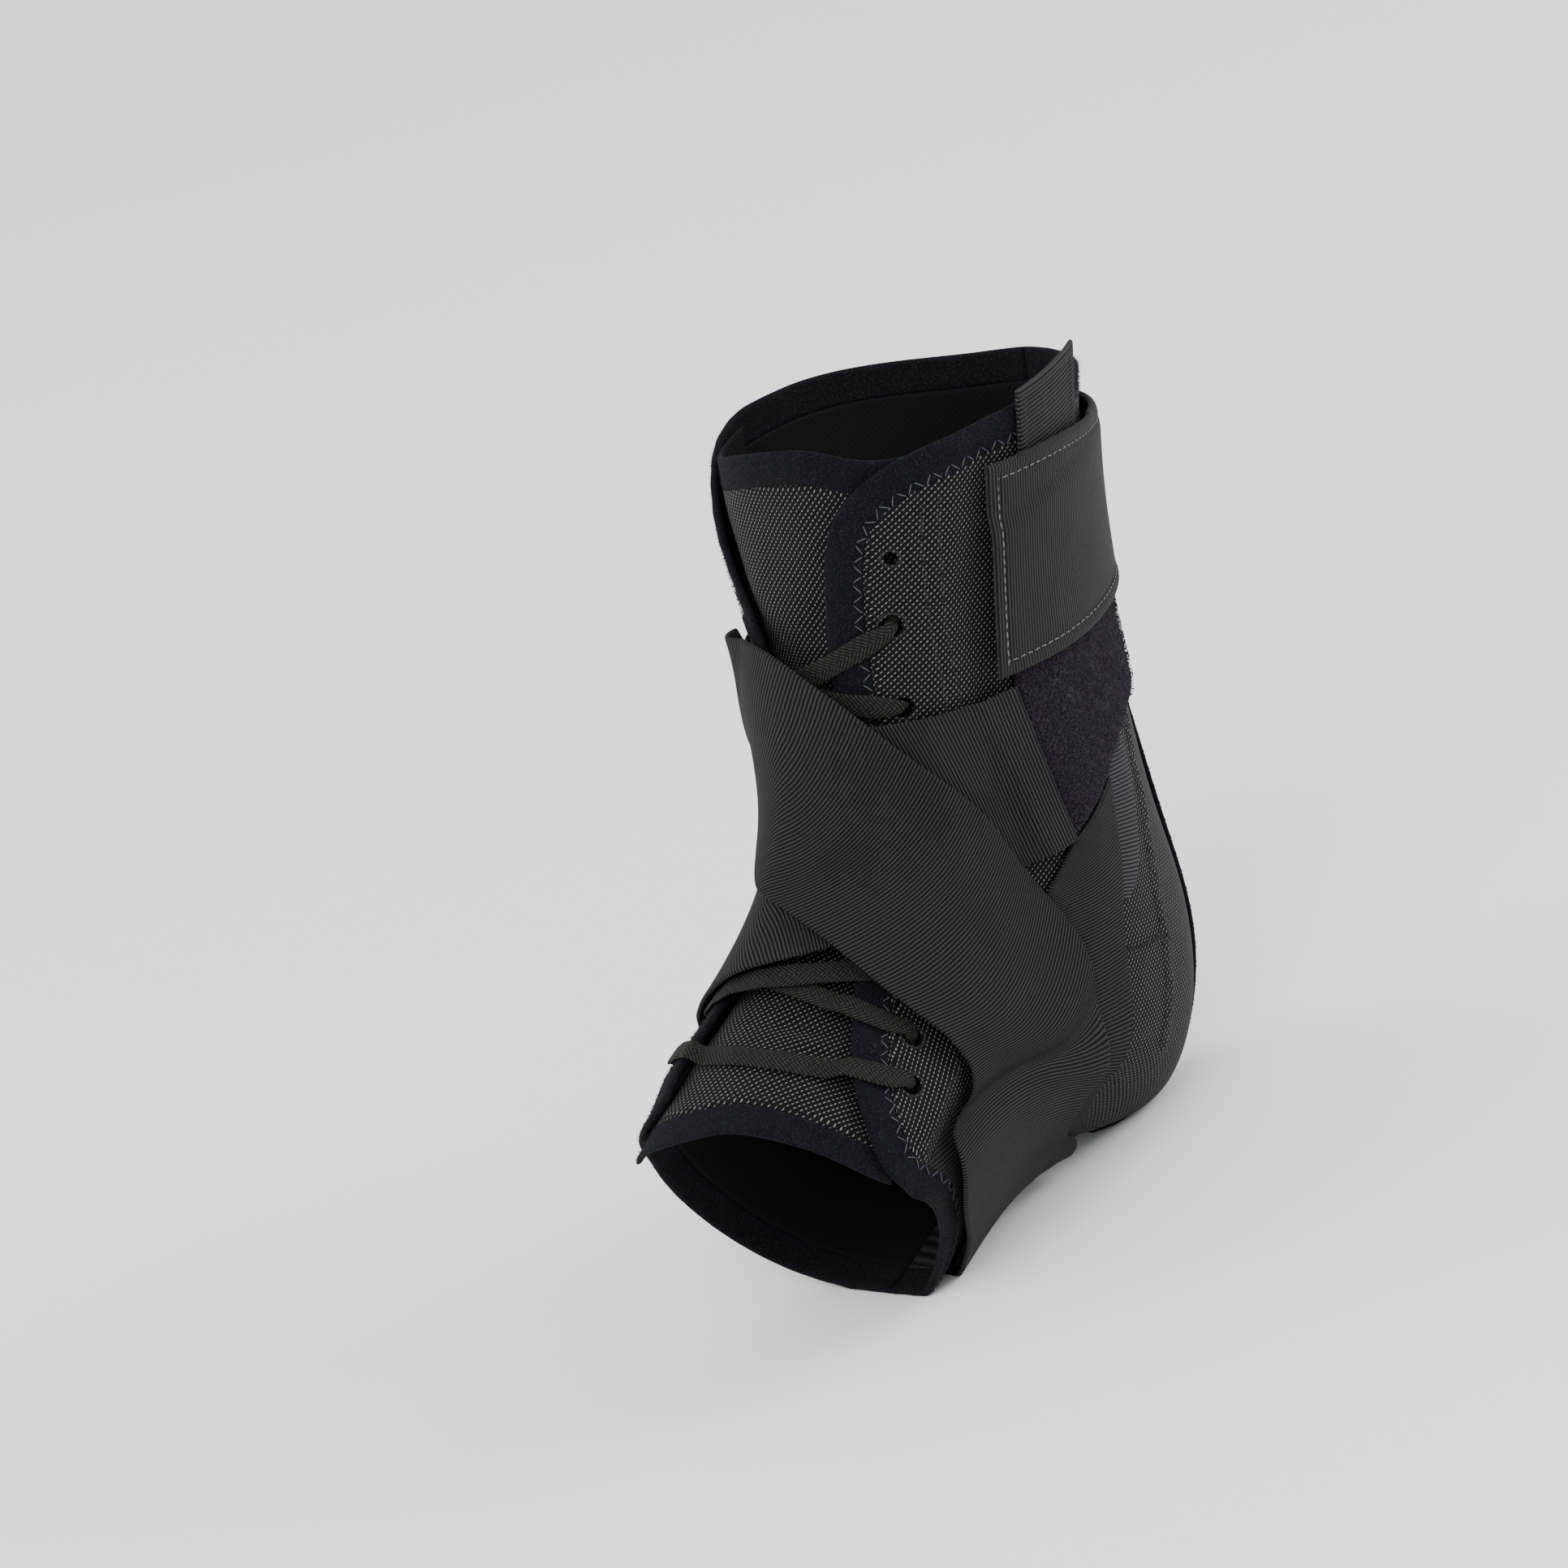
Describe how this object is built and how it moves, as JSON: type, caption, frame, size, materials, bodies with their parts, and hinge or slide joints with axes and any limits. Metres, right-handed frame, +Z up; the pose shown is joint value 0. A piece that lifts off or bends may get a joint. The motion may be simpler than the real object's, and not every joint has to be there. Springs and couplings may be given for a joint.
{
  "type": "ankle brace",
  "caption": "Lace-up ankle brace of padded mesh cloth with wide figure-eight straps, a pile band, a cuff strap and a pull tab.",
  "frame": {"origin": "middle of the bounding box at the ground the brace stands on", "axes": "+Z up the leg, +Y towards the heel, +X towards the inner side of the right foot"},
  "size_m": [0.086, 0.1744, 0.1921],
  "materials": {
    "mesh_cloth": "woven mesh with light dots",
    "binding": "napped binding tape",
    "strap_web": "finely ribbed elastic web",
    "loop_pile": "brushed loop pile",
    "cuff_elastic": "ribbed elastic",
    "tab_web": "flat webbing",
    "lace_cord": "flat woven lace"
  },
  "bodies": {
    "root": {"medial_panel": "mesh_cloth", "medial_binding": "binding", "lateral_panel": "mesh_cloth", "lateral_binding": "binding", "heel_seam_binding": "binding", "tongue": "mesh_cloth", "tongue_top_binding": "binding", "tongue_toe_binding": "binding", "medial_strap": "strap_web", "lateral_strap": "strap_web", "loop_pile_band": "loop_pile", "cuff_strap": "cuff_elastic", "pull_tab": "tab_web", "lace": "lace_cord"}
  },
  "joints": []
}
